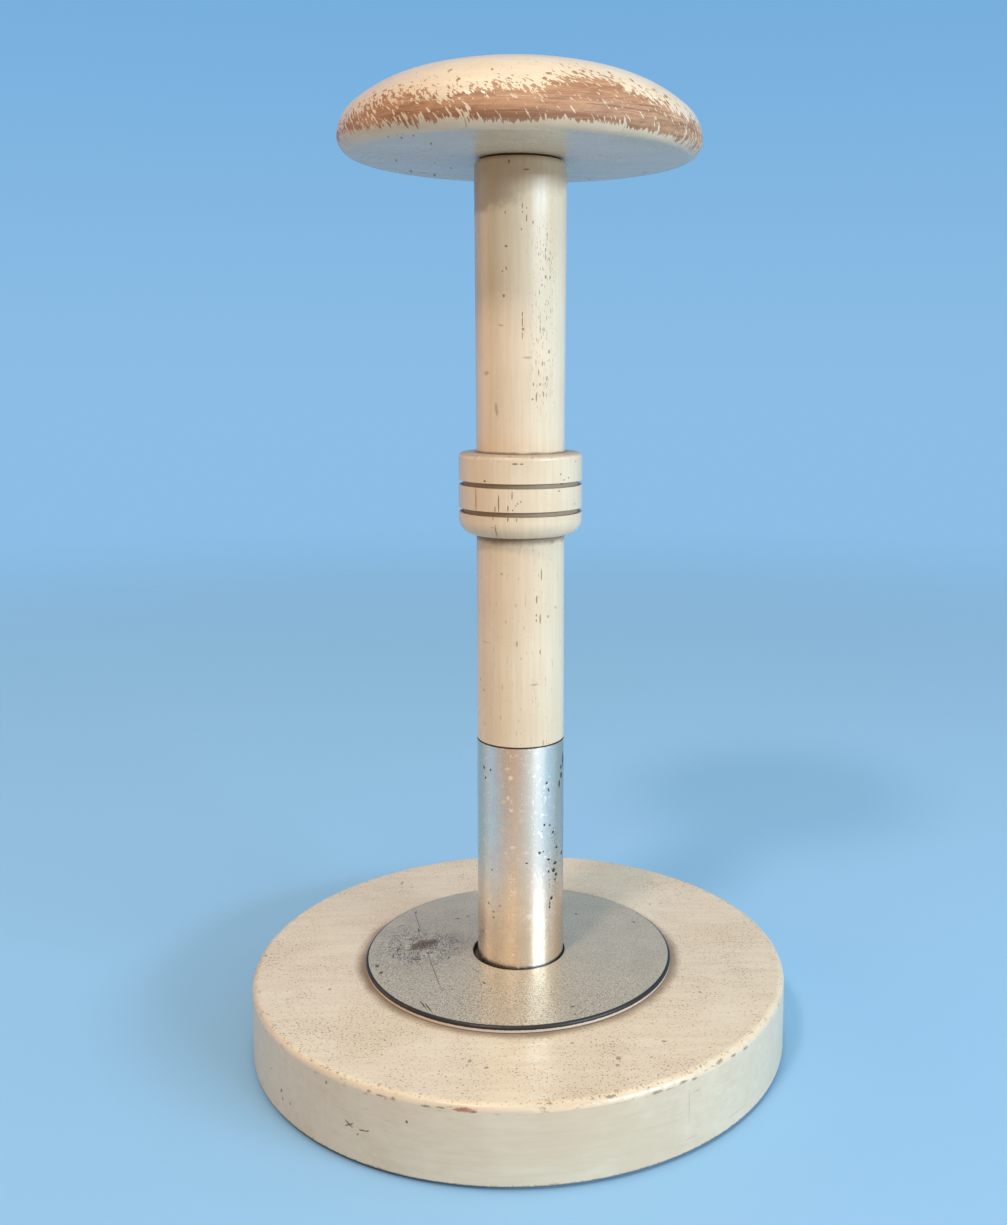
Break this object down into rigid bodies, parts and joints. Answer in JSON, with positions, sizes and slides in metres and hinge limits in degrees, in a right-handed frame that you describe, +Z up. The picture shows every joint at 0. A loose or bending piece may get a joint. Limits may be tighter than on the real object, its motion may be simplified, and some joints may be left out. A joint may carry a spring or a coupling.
{
  "type": "hat stand",
  "caption": "Counter-top display stand for a hat or wig: a domed round head on a turned post with a grooved collar, a metal foot sleeve and a heavy round base.",
  "frame": {"origin": "middle of the underside of the felt pad, on the surface that the stand rests on", "axes": "+Z up along the post's axis, +X to the right and -Y towards the viewer of the worn side"},
  "size_m": [0.1912, 0.1912, 0.3438],
  "materials": {
    "cream_lacquer": "gloss cream lacquer over orange-brown turned wood, chipped and worn through round the head's shoulder",
    "sleeve_metal": "satin polished, lightly pitted",
    "disc_metal": "tarnished, speckled and scratched, with a blackened rim",
    "dark_fibre": "matt pressed fibre",
    "zinc_steel": "zinc plated",
    "brass": "machined",
    "felt": "pressed wool felt"
  },
  "bodies": {
    "stand": {"felt_pad": "felt", "base_disc": "cream_lacquer", "base_screw": "zinc_steel", "base_screw_washer": "zinc_steel", "trim_disc": "disc_metal", "foot_sleeve": "sleeve_metal", "lower_post": "cream_lacquer", "collar": "cream_lacquer", "upper_post": "cream_lacquer", "head_stud": "zinc_steel"},
    "washer": {"head_washer": "dark_fibre"},
    "head": {"head_insert": "brass", "head": "cream_lacquer"}
  },
  "joints": [
    {"name": "head_turn", "type": "hinge", "parent": "stand", "child": "washer", "pos_m": [0, 0, 0.3124], "axis": [0, 0, 1], "range_deg": [0, 3600]},
    {"name": "head_rise", "type": "slide", "parent": "washer", "child": "head", "axis": [0, 0, 1], "range_m": [0, 0.01501]}
  ],
  "couplings": [
    {"joint": "head_rise", "follows": "head_turn", "m_per_rad": 0.00023873}
  ]
}
